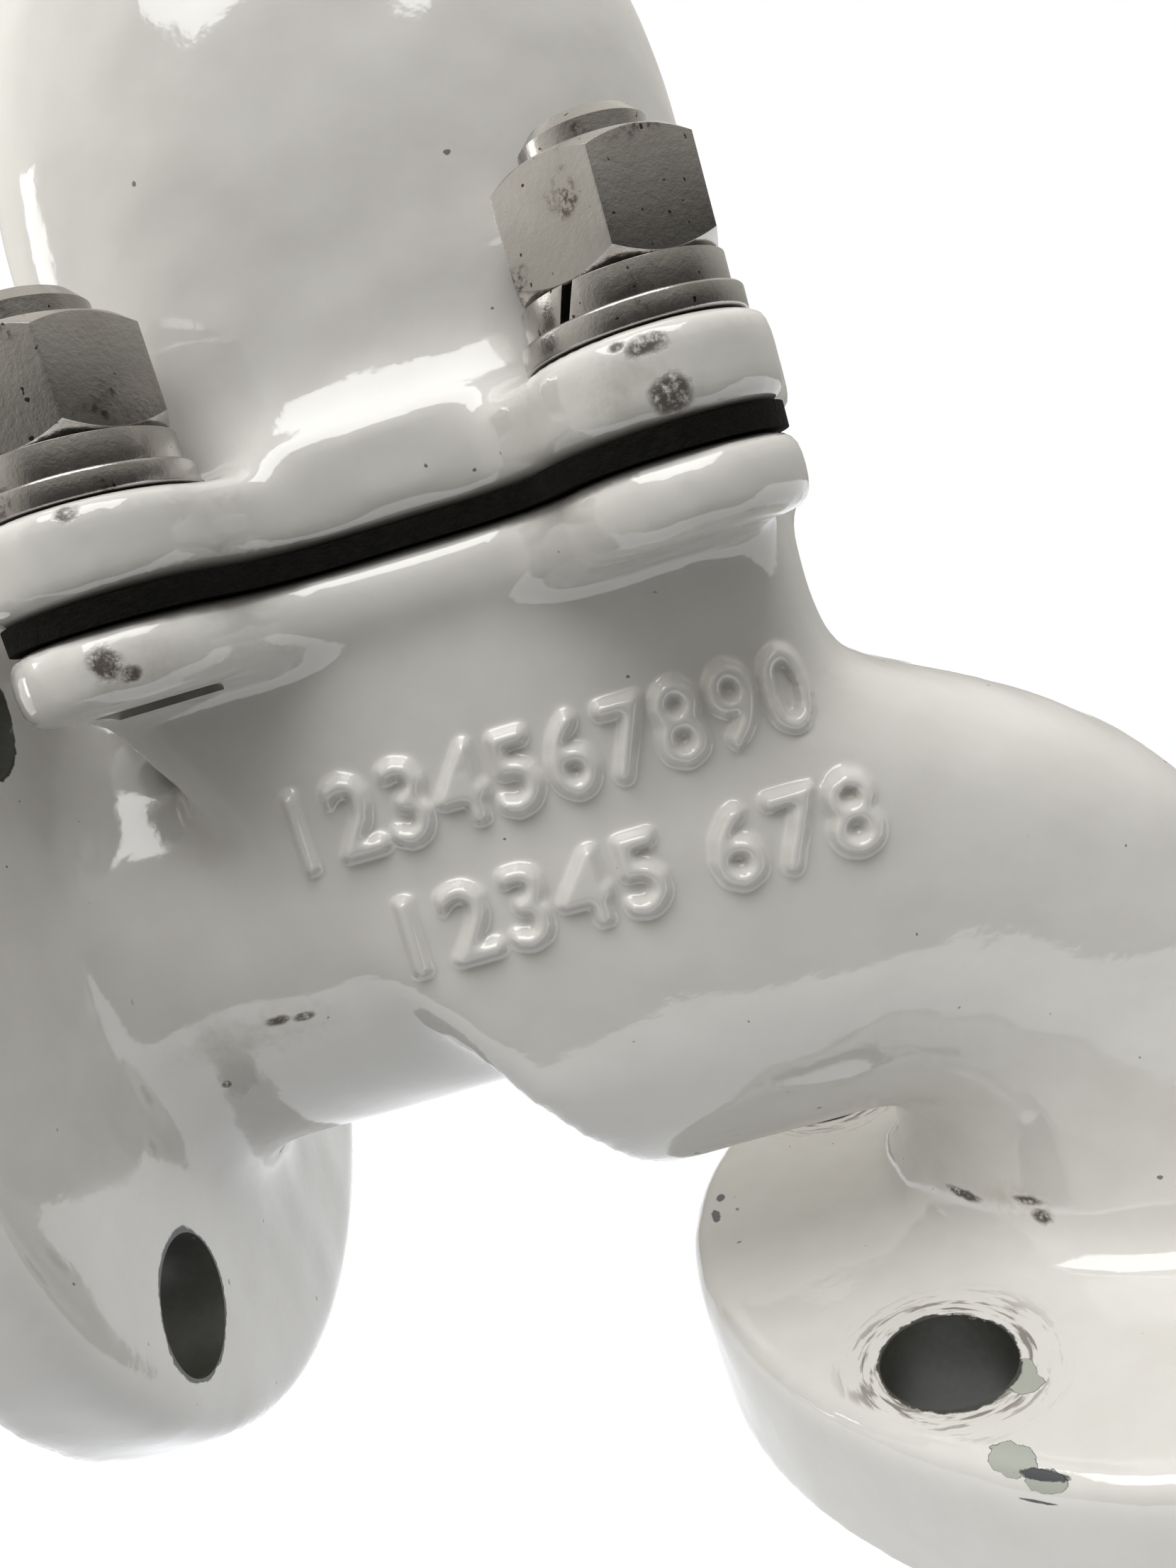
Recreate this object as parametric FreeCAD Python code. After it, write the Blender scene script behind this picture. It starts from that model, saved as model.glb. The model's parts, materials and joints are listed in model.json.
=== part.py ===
import FreeCAD, Part
import math
import os

# Storm valve: an angle-pattern swing check valve with a bolted dome bonnet.
# The outlet flange face lies on Z = 0 with its axis on Z. The inlet runs along X on the -X side.
# Lengths are millimetres and angles are degrees.

# Pipe flanges, two-inch Class 150 drilling
flange_diameter = 152.4
outlet_flange_thickness = 21.4
inlet_flange_thickness = 16.0
flange_edge_round = 4.0
bolt_circle = 120.65
bolt_hole = 19.05
bolt_count = 4
bore_diameter = 51.0
bore_depth = 38.0
bore_taper = 1.2

# Body casting
inlet_reach = 156.0
inlet_height = 101.2
inlet_neck_diameter = 75.0
outlet_neck_diameter = 70.0
neck_fillet = 9.0
neck_fillet_sunk = 0.9
wall = 6.5
passage_half_width = 38.0
passage_height = 70.2
elbow_inner_radius = 5.0
elbow_pivot_height = 38.4
elbow_wall_top = 84.6
elbow_wall_fall = 7
elbow_squareness = 4.0
chamber_half_width = 36.5
chamber_end = -30.2
chamber_length = 120.0
chamber_squareness = 5.0
seat_wall_lean = 30.8
seat_wall = 7.5
seat_wall_x = -106.5
toe_radius = 14.0
run_clearance = 0.5

# Joint between body and bonnet
joint_height = 148.1
body_plate_thickness = 9.9
gasket_thickness = 3.0
gasket_proud = 0.6
bonnet_plate_thickness = 11.2
bonnet_x = -81.9
stud_pitch_x = 70.0
stud_pitch_y = 84.0
lobe_radius = 15.7
plate_half_depth = 38.4
plate_reach_inlet = 55.5
plate_reach_outlet = 55.6
plate_end_radius = 34.0
lobe_blend = 12.0
plate_edge_round = 2.6

# Dome of the bonnet
dome_offset = 1.8
dome_height = 98.0
dome_crown = 64.0
dome_half_length = 50.8
dome_half_depth = 35.0
dome_wall = 6.0
dome_root = 10.0
dome_power = 2.1

# Studs and what is on them
stud_diameter = 15.8
stud_end_chamfer = 1.6
stud_clearance_hole = 17.5
spot_face_margin = 0.6
spot_face_height = 26.0
stud_seat = 1.0
stud_proud = 4.7
thread_gap = 0.05
nut_flats = 23.8
nut_height = 13.9
flat_washer_diameter = 27.6
flat_washer_bore = 17.0
flat_washer_thickness = 3.0
lock_washer_diameter = 25.2
lock_washer_bore = 16.4
lock_washer_thickness = 4.0
lock_washer_split = 1.4
nut_turns = (22.0, -4.0, 11.0, 37.0)
split_turns = (-60.0, -36.0, 95.0, 150.0)

# Seat and flap
seat_bore = 47.0
seat_ring_diameter = 55.0
seat_ring_depth = 7.0
seat_ring_proud = 2.0
seat_gap = 0.2
face_ring_diameter = 55.0
face_ring_thickness = 3.0
retainer_diameter = 40.0
retainer_thickness = 3.0
disc_thickness = 6.0
disc_bolt_diameter = 10.0
disc_bolt_flats = 16.0
disc_bolt_head = 5.5
disc_nut_height = 8.0
disc_washer_diameter = 20.0
disc_washer_thickness = 1.6
disc_bolt_proud = 2.4
arm_thickness = 7.0
arm_width = 13.0
arm_eye_diameter = 21.0
swing_arm = 36.0

# Hinge
pin_diameter = 8.0
pin_gap = 0.05
pin_head_diameter = 12.0
pin_head_thickness = 2.5
hub_diameter = 13.0
hub_length = 17.0
hub_side_gap = 0.5
lug_thickness = 5.0
lug_diameter = 13.0
bracket_plate = 4.0
bracket_half_width = 28.0
bracket_low = 32.5
bracket_high = 51.0
bracket_screw_up = 45.0
bracket_screw_diameter = 6.0
bracket_screw_flats = 10.0
bracket_screw_head = 4.0
bracket_screw_depth = 5.5
bracket_screw_offset = 21.5
split_pin_diameter = 2.0
split_pin_leg = 3.2

# Worked out from the sizes above
flange_radius = flange_diameter / 2
bore_radius = bore_diameter / 2
pivot_x = -outlet_neck_diameter / 2 - elbow_inner_radius
pivot_z = elbow_pivot_height
passage_floor = pivot_z + elbow_inner_radius
passage_mid = passage_floor + passage_height / 2
plate_top = joint_height
plate_bottom = joint_height - body_plate_thickness
bonnet_base = joint_height + gasket_thickness
bonnet_top = bonnet_base + bonnet_plate_thickness
lean = math.radians(seat_wall_lean)
dome_x = bonnet_x + dome_offset
pin_out = seat_gap + face_ring_thickness + disc_thickness + arm_thickness / 2
nut_base = bonnet_top + flat_washer_thickness + lock_washer_thickness
seat_x = seat_wall_x + (seat_wall + seat_ring_proud) / math.cos(lean)

X = FreeCAD.Vector(1, 0, 0)
Y = FreeCAD.Vector(0, 1, 0)
Z = FreeCAD.Vector(0, 0, 1)
UP_SLOPE = FreeCAD.Vector(-math.sin(lean), 0, math.cos(lean))
SEAT_NORMAL = FreeCAD.Vector(math.cos(lean), 0, math.sin(lean))
SEAT_CENTRE = FreeCAD.Vector(seat_x, 0, inlet_height)
WALL_POINT = FreeCAD.Vector(seat_wall_x, 0, inlet_height)
FAR = 400.0

os.makedirs("parts", exist_ok=True)


def point(x, y, z):
    return FreeCAD.Vector(x, y, z)


def save(name, shape):
    shape.exportStep("parts/" + name + ".step")


def rod(radius, length, base, direction):
    return Part.makeCylinder(radius, length, base, direction)


def tube(outer, inner, length, base, direction):
    return rod(outer, length, base, direction).cut(rod(inner, length, base, direction))


def seat_point(up, across, out):
    """A point on the seat's own axes: up its slope, across the valve, out into the chamber."""
    return SEAT_CENTRE + UP_SLOPE * up + Y * across + SEAT_NORMAL * out


def on_seat(shape, out):
    """Lay a shape drawn flat, with X up the slope and Z out of the seat, onto the seat face."""
    across = SEAT_NORMAL.cross(UP_SLOPE)
    matrix = FreeCAD.Matrix(
        UP_SLOPE.x, across.x, SEAT_NORMAL.x, SEAT_CENTRE.x,
        UP_SLOPE.y, across.y, SEAT_NORMAL.y, SEAT_CENTRE.y,
        UP_SLOPE.z, across.z, SEAT_NORMAL.z, SEAT_CENTRE.z,
        0, 0, 0, 1)
    placed = shape.copy()
    placed.translate(Z * out)
    return placed.transformed(matrix, True)


def closed_profile(corners):
    return Part.Face(Part.makePolygon([point(*c) for c in corners + [corners[0]]]))


def hexagon(flats, height, turn=0.0):
    """A hexagon bar on Z with one corner towards -Y, its corners rounded off at both ends."""
    radius = flats / math.sqrt(3)
    corners = []
    for i in range(6):
        angle = math.radians(60 * i - 90 + turn)
        corners.append((radius * math.cos(angle), radius * math.sin(angle), 0))
    bar = closed_profile(corners).extrude(Z * height)
    drop = (radius - flats / 2) * math.tan(math.radians(30)) * 1.6
    flat = flats / 2 * 0.97
    outline = [
        (0, 0, 0), (flat, 0, 0), (radius, 0, drop), (radius, 0, height - drop),
        (flat, 0, height), (0, 0, height)]
    return bar.common(closed_profile(outline).revolve(point(0, 0, 0), Z, 360))


def superellipse(centre, up, half_width, outward, inward, outer_power, inner_power):
    """A closed smooth section across Y: `outward` along `up`, `inward` the other way."""
    points = []
    count = 36
    for i in range(count):
        angle = 2 * math.pi * i / count
        c = math.cos(angle)
        s = math.sin(angle)
        power = outer_power if s > 0 else inner_power
        reach = outward if s > 0 else inward
        y = math.copysign(abs(c) ** (2 / power), c) * half_width
        w = math.copysign(abs(s) ** (2 / power), s) * reach
        points.append(centre + Y * y + up * w)
    curve = Part.BSplineCurve()
    curve.interpolate(Points=points, PeriodicFlag=True)
    return Part.Wire(curve.toShape())


def plan_outline(z, inset):
    """The chamber's plan: nearly flat sides and a rounded outlet end."""
    half_length = chamber_length / 2 - inset
    half_width = chamber_half_width - inset
    centre = point(chamber_end - chamber_length / 2, 0, z)
    return superellipse(
        centre, X, half_width, half_length, half_length, chamber_squareness, chamber_squareness)


def behind_seat_wall(depth, floor):
    """Everything on the chamber side of the leaning wall, with the rounded toe at its foot."""
    start = WALL_POINT + SEAT_NORMAL * depth
    run = (start.z - floor) / math.cos(lean)
    foot = start - UP_SLOPE * run
    radius = toe_radius - depth / 2
    setback = radius * math.tan((math.pi / 2 - lean) / 2)
    first = foot + UP_SLOPE * setback
    last = foot + X * setback
    centre = last + Z * radius
    middle_angle = -math.pi / 2 - (math.pi / 2 - lean) / 2
    halfway = centre + point(math.cos(middle_angle) * radius, 0, math.sin(middle_angle) * radius)
    top = start + UP_SLOPE * FAR
    edges = [
        Part.makeLine(top, first),
        Part.Arc(first, halfway, last).toShape(),
        Part.makeLine(last, last + X * FAR),
        Part.makeLine(last + X * FAR, last + X * FAR + Z * FAR),
        Part.makeLine(last + X * FAR + Z * FAR, top)]
    face = Part.Face(Part.Wire(edges))
    face.translate(Y * -FAR / 2)
    return face.extrude(Y * FAR)


def elbow_sections(inset, end_radius):
    """Sections that turn about the elbow's pivot, from the chamber's end to the round outlet."""
    wires = []
    steps = 9
    for i in range(steps + 1):
        share = i / steps
        angle = share * math.pi / 2
        up = point(math.sin(angle), 0, math.cos(angle))
        crest = passage_height + elbow_inner_radius
        reach = crest + (elbow_wall_top - crest) * (1 - share) ** elbow_wall_fall
        inner = elbow_inner_radius + inset
        outer = reach - inset
        middle = elbow_inner_radius + passage_height / 2
        width = (passage_half_width - inset) * (1 - share) + share * end_radius
        outer = outer * (1 - share) + share * (middle + end_radius)
        inner = inner * (1 - share) + share * (middle - end_radius)
        centre = point(pivot_x, 0, pivot_z) + up * middle
        power = elbow_squareness * (1 - share) + 2 * share
        wires.append(superellipse(centre, up, width, outer - middle, middle - inner, power, 2))
    return wires


def passage(inset, end_radius, neck_radii):
    """The cast water way: chamber, straight run and elbow, smaller by `inset` all round."""
    top = plate_top + 1 if inset > 0 else plate_top - 1
    tower_base = passage_mid
    tower = Part.Face(plan_outline(tower_base, inset)).extrude(Z * (top - tower_base))
    sections = elbow_sections(inset, end_radius)
    run = Part.Face(sections[0]).extrude(X * -chamber_length)
    elbow = Part.makeLoft(sections, True, False)
    floor = passage_floor + inset - run_clearance
    depth = seat_wall if inset > 0 else 0.0
    shape = tower.fuse(run).common(behind_seat_wall(depth, floor)).fuse(elbow)
    if neck_radii:
        rings = [sections[-1]]
        for z, radius in neck_radii:
            rings.append(superellipse(point(0, 0, z), X, radius, radius, radius, 2, 2))
        shape = shape.fuse(Part.makeLoft(rings, True, False))
    return shape


def neck_flare():
    """Heights and radii of the outlet neck, flaring out to its flange."""
    radius = outlet_neck_diameter / 2
    fillet = neck_fillet + 2
    centre = outlet_flange_thickness + fillet - neck_fillet_sunk
    rings = []
    for share in (0.12, 0.35, 0.6, 0.8, 0.93, 1.0):
        drop = fillet * share * 0.995
        rings.append((centre - drop, radius + fillet - math.sqrt(fillet ** 2 - drop ** 2)))
    return rings


def flange_blank(thickness, neck_radius, neck_end):
    """A flange turned on Z, face down at Z = 0, with its neck blended in."""
    edge = flange_edge_round
    r = flange_radius
    t = thickness
    bend = math.sqrt(0.5)
    edges = [
        Part.makeLine(point(0, 0, 0), point(r, 0, 0)),
        Part.makeLine(point(r, 0, 0), point(r, 0, t - edge)),
        Part.Arc(
            point(r, 0, t - edge),
            point(r - edge + edge * bend, 0, t - edge + edge * bend),
            point(r - edge, 0, t)).toShape()]
    if neck_radius:
        f = neck_fillet
        n = neck_radius
        edges += [
            Part.makeLine(point(r - edge, 0, t), point(n + f, 0, t)),
            Part.Arc(
                point(n + f, 0, t), point(n + f - f * bend, 0, t + f - f * bend),
                point(n, 0, t + f)).toShape(),
            Part.makeLine(point(n, 0, t + f), point(n, 0, neck_end)),
            Part.makeLine(point(n, 0, neck_end), point(0, 0, neck_end)),
            Part.makeLine(point(0, 0, neck_end), point(0, 0, 0))]
    else:
        edges += [
            Part.makeLine(point(r - edge, 0, t), point(0, 0, t)),
            Part.makeLine(point(0, 0, t), point(0, 0, 0))]
    return Part.Face(Part.Wire(edges)).revolve(point(0, 0, 0), Z, 360)


def flange_holes(thickness):
    holes = []
    for i in range(bolt_count):
        angle = math.radians(45 + 360 / bolt_count * i)
        base = point(bolt_circle / 2 * math.cos(angle), bolt_circle / 2 * math.sin(angle), -1)
        holes.append(rod(bolt_hole / 2, thickness + 2, base, Z))
    return Part.makeCompound(holes)


def turned_to_inlet(shape):
    """Turn a shape built on the outlet's axis to the inlet's face and axis."""
    turned = shape.copy()
    turned.rotate(point(0, 0, 0), Y, 90)
    turned.translate(point(-inlet_reach, 0, inlet_height))
    return turned


def stud_places():
    places = []
    for across in (-1, 1):
        for along in (-1, 1):
            places.append(point(bonnet_x + along * stud_pitch_x / 2, across * stud_pitch_y / 2, 0))
    return places


def lobed_plate(z, thickness, grow, edge_round):
    """The joint's outline: a round-ended plate with a lobe at each stud."""
    left = bonnet_x - plate_reach_inlet - grow
    length = plate_reach_inlet + plate_reach_outlet + 2 * grow
    depth = 2 * (plate_half_depth + grow)
    plate = Part.makeBox(length, depth, thickness, point(left, -depth / 2, z))
    uprights = [e for e in plate.Edges if abs(e.tangentAt(e.FirstParameter).z) > 0.9]
    plate = plate.makeFillet(plate_end_radius, uprights)
    for place in stud_places():
        plate = plate.fuse(rod(lobe_radius + grow, thickness, place + Z * z, Z))
    plate = plate.removeSplitter()
    corners = []
    for edge in plate.Edges:
        if len(edge.Vertexes) == 2 and abs(edge.tangentAt(edge.FirstParameter).z) > 0.99:
            faces = plate.ancestorsOfType(edge, Part.Face)
            normals = []
            for face in faces:
                u, v = face.Surface.parameter(edge.CenterOfMass)
                normals.append(face.normalAt(u, v))
            if len(normals) == 2 and normals[0].dot(normals[1]) < 0.995:
                corners.append(edge)
    plate = plate.makeFillet(lobe_blend, corners)
    if edge_round:
        rims = [e for e in plate.Edges if abs(e.tangentAt(e.FirstParameter).z) < 0.5]
        plate = plate.makeFillet(edge_round, rims)
    return plate


def joint_opening(z, height, grow):
    """The opening through the joint, which the flap swings up into."""
    outline = plan_outline(z, wall - grow)
    cut = Part.Face(outline).extrude(Z * height)
    start = WALL_POINT + SEAT_NORMAL * (seat_wall - grow)
    left = start.x - (joint_height - start.z) * math.tan(lean)
    keep = Part.makeBox(FAR, FAR, FAR, point(left, -FAR / 2, z - 1))
    return cut.common(keep)


def inlet_passage():
    """A straight mouth as deep as the outlet's, then a slight cast taper up to the seat."""
    face = point(-inlet_reach, 0, inlet_height)
    mouth = rod(bore_radius, bore_depth + 1, face - X, X)
    deep = Part.makeCone(bore_radius, bore_radius - bore_taper, inlet_reach - bore_depth, face + X * bore_depth, X)
    return mouth.fuse(deep).cut(behind_seat_wall(seat_wall - seat_ring_depth + 1, -FAR / 4))


def body():
    inlet = turned_to_inlet(flange_blank(
        inlet_flange_thickness, inlet_neck_diameter / 2, inlet_reach + chamber_end))
    inside_wall = behind_seat_wall(seat_wall / 2, passage_floor - FAR / 4)
    inlet = inlet.cut(inside_wall)
    outlet = flange_blank(outlet_flange_thickness, 0, 0)
    plate = lobed_plate(plate_bottom, body_plate_thickness, 0, plate_edge_round)
    cast = passage(0, outlet_neck_diameter / 2, neck_flare())
    shape = cast.fuse(plate).fuse(inlet).fuse(outlet)

    shape = shape.cut(passage(wall, bore_radius - 0.5, None))
    shape = shape.cut(joint_opening(plate_bottom - 12, 40, 0))
    shape = shape.cut(rod(bore_radius, bore_depth + 2, point(0, 0, -1), Z))
    shape = shape.cut(inlet_passage())

    recess = seat_ring_depth - seat_ring_proud
    base = seat_point(0, 0, -seat_ring_proud - recess)
    shape = shape.cut(rod(seat_ring_diameter / 2 + thread_gap, recess + 30, base, SEAT_NORMAL))
    shape = shape.cut(rod(seat_bore / 2, 40, seat_point(0, 0, -20), SEAT_NORMAL))

    shape = shape.cut(flange_holes(outlet_flange_thickness))
    shape = shape.cut(turned_to_inlet(flange_holes(inlet_flange_thickness)))
    for place in stud_places():
        radius = stud_diameter / 2 + thread_gap
        shape = shape.cut(rod(radius, body_plate_thickness + 2, place + Z * (plate_bottom - 1), Z))
    for across in (-1, 1):
        mouth = seat_point(bracket_screw_up, across * bracket_screw_offset, -seat_ring_proud + 1)
        radius = bracket_screw_diameter / 2 + thread_gap
        shape = shape.cut(rod(radius, bracket_screw_depth + 1.2, mouth, SEAT_NORMAL * -1))
    return shape


def dome_profile(inset, base, root):
    """Half the dome's outline in X and Z, from its root up to the middle of its crown."""
    half = dome_half_length - inset
    crown = dome_crown - inset
    shoulder = bonnet_top + dome_height - dome_crown
    steps = 9
    arc = []
    for i in range(steps + 1):
        angle = math.pi / 2 * i / steps
        arc.append(point(
            half * math.cos(angle) ** (2 / dome_power), 0,
            shoulder + crown * math.sin(angle) ** (2 / dome_power)))
    curve = Part.BSplineCurve()
    curve.interpolate(Points=arc, InitialTangent=Z, FinalTangent=X * -1)
    foot = half + root * 0.6
    low = bonnet_top + root * 0.12
    high = bonnet_top + root * 1.3
    edges = [Part.makeLine(point(0, 0, base), point(foot, 0, base))]
    if root:
        edges += [
            Part.makeLine(point(foot, 0, base), point(foot, 0, low)),
            Part.Arc(
                point(foot, 0, low), point(half + root * 0.17, 0, bonnet_top + root * 0.55),
                point(half, 0, high)).toShape(),
            Part.makeLine(point(half, 0, high), arc[0])]
    else:
        edges.append(Part.makeLine(point(foot, 0, base), arc[0]))
    edges += [curve.toShape(), Part.makeLine(arc[-1], point(0, 0, base))]
    return Part.Face(Part.Wire(edges))


def dome_solid(inset, base, root):
    """The dome's profile turned about Z and narrowed across the valve to an oval."""
    turned = dome_profile(inset, base, root).revolve(point(0, 0, 0), Z, 360)
    narrow = FreeCAD.Matrix()
    narrow.scale(1, (dome_half_depth - inset) / (dome_half_length - inset), 1)
    turned = turned.transformGeometry(narrow)
    turned.translate(point(dome_x, 0, 0))
    return turned


def bonnet():
    plate = lobed_plate(bonnet_base, bonnet_plate_thickness, 0, plate_edge_round)
    shape = plate.fuse(dome_solid(0, bonnet_base + 3, dome_root))
    shape = shape.cut(dome_solid(dome_wall, bonnet_base - 1, 0).common(
        Part.makeBox(FAR, FAR, FAR, point(-FAR / 2, -FAR / 2, bonnet_base + 4))))
    shape = shape.cut(joint_opening(bonnet_base - 1, bonnet_plate_thickness + 1, 0))
    spot_face = flat_washer_diameter / 2 + spot_face_margin
    for place in stud_places():
        shape = shape.cut(rod(spot_face, spot_face_height, place + Z * bonnet_top, Z))
        hole = rod(stud_clearance_hole / 2, FAR, place + Z * (bonnet_base - 1), Z)
        shape = shape.cut(hole)
    return shape


def gasket():
    shape = lobed_plate(joint_height, gasket_thickness, gasket_proud, 0)
    shape = shape.cut(joint_opening(joint_height - 1, gasket_thickness + 2, 0))
    for place in stud_places():
        shape = shape.cut(rod(stud_clearance_hole / 2, FAR, place, Z))
    return shape


def seat_ring():
    ring = Part.makeCylinder(seat_ring_diameter / 2, seat_ring_depth)
    ring = ring.makeChamfer(0.8, [ring.Edges[0]])
    bore = Part.makeCylinder(seat_bore / 2, seat_ring_depth)
    lead = Part.makeCone(seat_bore / 2 + 1.5, seat_bore / 2, 1.5)
    return on_seat(ring.cut(bore).cut(lead), -seat_ring_depth)


def flap_pieces():
    """The flap's own pieces, from the seat side out into the chamber."""
    bolt = disc_bolt_diameter / 2
    hole = Part.makeCylinder(bolt + thread_gap, FAR, point(0, 0, -FAR / 2))
    face_ring = Part.makeCylinder(face_ring_diameter / 2, face_ring_thickness)
    face_ring = face_ring.makeFillet(0.5, [face_ring.Edges[0], face_ring.Edges[2]]).cut(hole)
    retainer = Part.makeCylinder(retainer_diameter / 2, retainer_thickness)
    retainer = retainer.makeChamfer(0.8, [retainer.Edges[2]]).cut(hole)
    disc = Part.makeCylinder(face_ring_diameter / 2, disc_thickness)
    disc = disc.makeFillet(1.5, [disc.Edges[0]])
    disc = disc.cut(hole)
    washer = Part.makeCylinder(disc_washer_diameter / 2, disc_washer_thickness).cut(hole)
    nut = hexagon(disc_bolt_flats, disc_nut_height).cut(hole)
    head = hexagon(disc_bolt_flats, disc_bolt_head)
    stack = retainer_thickness + face_ring_thickness + disc_thickness + arm_thickness
    shank = stack + disc_washer_thickness + disc_nut_height + disc_bolt_proud
    stem = Part.makeCylinder(bolt, shank + disc_bolt_head)
    stem = stem.makeChamfer(1.0, [stem.Edges[0]])
    front = seat_gap
    save("face_ring", on_seat(face_ring, front))
    save("face_ring_retainer", on_seat(retainer, front - retainer_thickness))
    save("disc_bolt", on_seat(head.fuse(stem), front - retainer_thickness - disc_bolt_head))
    save("flap_disc", on_seat(disc, front + face_ring_thickness))
    back = front + face_ring_thickness + disc_thickness
    save("flap_arm", on_seat(flap_arm(), back))
    save("disc_washer", on_seat(washer, back + arm_thickness))
    save("disc_nut", on_seat(nut, back + arm_thickness + disc_washer_thickness))


def flap_arm():
    """A forged arm: an eye for the disc bolt, a tapering web and a hub for the hinge pin."""
    eye = Part.makeCylinder(arm_eye_diameter / 2, arm_thickness)
    web = closed_profile([
        (0, -arm_width / 2 - 1.5, 0), (swing_arm, -arm_width / 2, 0),
        (swing_arm, arm_width / 2, 0), (0, arm_width / 2 + 1.5, 0)]).extrude(Z * arm_thickness)
    hub_base = point(swing_arm, -hub_length / 2, arm_thickness / 2)
    hub = rod(hub_diameter / 2, hub_length, hub_base, Y)
    arm = eye.fuse(web).fuse(hub)
    arm = arm.cut(rod(pin_diameter / 2 + pin_gap, FAR, hub_base - Y * FAR / 2, Y))
    return arm.cut(rod(disc_bolt_diameter / 2 + thread_gap, FAR, point(0, 0, -1), Z))


def hinge_bracket():
    """A cast bracket: a plate screwed to the seat wall and two lugs that carry the pin."""
    length = bracket_high - bracket_low
    plate = Part.makeBox(
        length, 2 * bracket_half_width, bracket_plate,
        point(bracket_low, -bracket_half_width, -seat_ring_proud))
    uprights = [e for e in plate.Edges if abs(e.tangentAt(e.FirstParameter).z) > 0.9]
    bracket = plate.makeFillet(4.0, uprights)
    reach = pin_out + seat_ring_proud
    for side in (-1, 1):
        inner = side * (hub_length / 2 + hub_side_gap)
        outer = inner + side * lug_thickness
        low = min(inner, outer)
        lug = Part.makeBox(lug_diameter, lug_thickness, reach, point(
            swing_arm - lug_diameter / 2, low, -seat_ring_proud))
        nose = rod(lug_diameter / 2, lug_thickness, point(swing_arm, low, pin_out), Y)
        bracket = bracket.fuse(lug).fuse(nose)
    bracket = bracket.cut(rod(pin_diameter / 2 + thread_gap, FAR, point(swing_arm, -FAR / 2, pin_out), Y))
    for side in (-1, 1):
        hole = Part.makeCylinder(bracket_screw_diameter / 2 + 0.3, FAR, point(
            bracket_screw_up, side * bracket_screw_offset, -FAR / 2))
        bracket = bracket.cut(hole)
    return on_seat(bracket, 0)


def bracket_screw(side):
    head = hexagon(bracket_screw_flats, bracket_screw_head)
    length = bracket_plate + bracket_screw_depth
    shank = rod(bracket_screw_diameter / 2, length, point(0, 0, -length), Z)
    screw = head.fuse(shank)
    screw.translate(point(bracket_screw_up, side * bracket_screw_offset, bracket_plate - seat_ring_proud))
    return on_seat(screw, 0)


def pin_half_length():
    return hub_length / 2 + hub_side_gap + lug_thickness


def hinge_pin():
    """A headed pin, cross-drilled at its far end for the split pin."""
    start = point(swing_arm, -pin_half_length(), pin_out)
    tail = split_pin_diameter + 3.5
    pin = rod(pin_diameter / 2, 2 * pin_half_length() + tail, start, Y)
    head = rod(pin_head_diameter / 2, pin_head_thickness, start, Y * -1)
    pin = pin.fuse(head)
    return on_seat(pin.cut(split_pin_hole()), 0)


def split_pin_axis():
    return point(swing_arm, pin_half_length() + split_pin_diameter / 2 + 0.6, pin_out)


def split_pin_hole():
    radius = split_pin_diameter / 2 + thread_gap
    return rod(radius, pin_diameter * 2, split_pin_axis() - Z * pin_diameter, Z)


def split_pin():
    """A split pin with its eye up and its two legs bent apart below the hinge pin."""
    radius = split_pin_diameter / 2
    reach = pin_diameter / 2 + 1.0
    stem = rod(radius, 2 * reach, split_pin_axis() - Z * reach, Z)
    eye = Part.makeTorus(radius * 1.5, radius * 0.75)
    eye.rotate(point(0, 0, 0), X, 90)
    eye.translate(split_pin_axis() + Z * (reach + radius * 1.2))
    pin = stem.fuse(eye)
    for side in (-1, 1):
        leg = rod(radius * 0.7, split_pin_leg, split_pin_axis() - Z * (reach - 0.3), point(side, 0, -1))
        pin = pin.fuse(leg)
    return on_seat(pin, 0)


def stud():
    """A stud on Z, its foot in the body's joint plate, chamfered at both ends."""
    foot = plate_bottom + stud_seat
    shape = Part.makeCylinder(stud_diameter / 2, nut_base + nut_height + stud_proud - foot)
    shape = shape.makeChamfer(stud_end_chamfer, [shape.Edges[0], shape.Edges[2]])
    shape.translate(Z * foot)
    return shape


def lock_washer(turn):
    """A split spring washer, flattened by its nut, with a slanting cut."""
    ring = tube(
        lock_washer_diameter / 2, lock_washer_bore / 2, lock_washer_thickness,
        point(0, 0, 0), Z)
    slant = lock_washer_thickness * 0.35
    gap = lock_washer_split / 2
    reach = lock_washer_diameter
    cut = closed_profile([
        (0, -gap - slant, -1), (0, gap - slant, -1),
        (0, gap + slant, lock_washer_thickness + 1), (0, -gap + slant, lock_washer_thickness + 1)])
    ring = ring.cut(cut.extrude(X * reach))
    ring.rotate(point(0, 0, 0), Z, -90 + turn)
    return ring


def hardware():
    """The four studs of the joint, each with its washers and nut."""
    washer_base = bonnet_top
    lock_base = washer_base + flat_washer_thickness
    flat_washer = tube(
        flat_washer_diameter / 2, flat_washer_bore / 2, flat_washer_thickness,
        point(0, 0, washer_base), Z)
    hole = Part.makeCylinder(stud_diameter / 2 + thread_gap, FAR)
    for i, place in enumerate(stud_places()):
        number = str(i + 1)
        nut = hexagon(nut_flats, nut_height, nut_turns[i]).cut(hole)
        nut.translate(Z * nut_base)
        ring = lock_washer(split_turns[i])
        ring.translate(Z * lock_base)
        for name, shape in (
                ("stud", stud()), ("flat_washer", flat_washer.copy()),
                ("lock_washer", ring), ("nut", nut)):
            shape.translate(place)
            save(name + "_" + number, shape)


save("body", body())
save("bonnet", bonnet())
save("bonnet_gasket", gasket())
save("seat_ring", seat_ring())
save("hinge_bracket", hinge_bracket())
save("bracket_screw_1", bracket_screw(-1))
save("bracket_screw_2", bracket_screw(1))
save("hinge_pin", hinge_pin())
save("hinge_split_pin", split_pin())
flap_pieces()
hardware()
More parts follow.
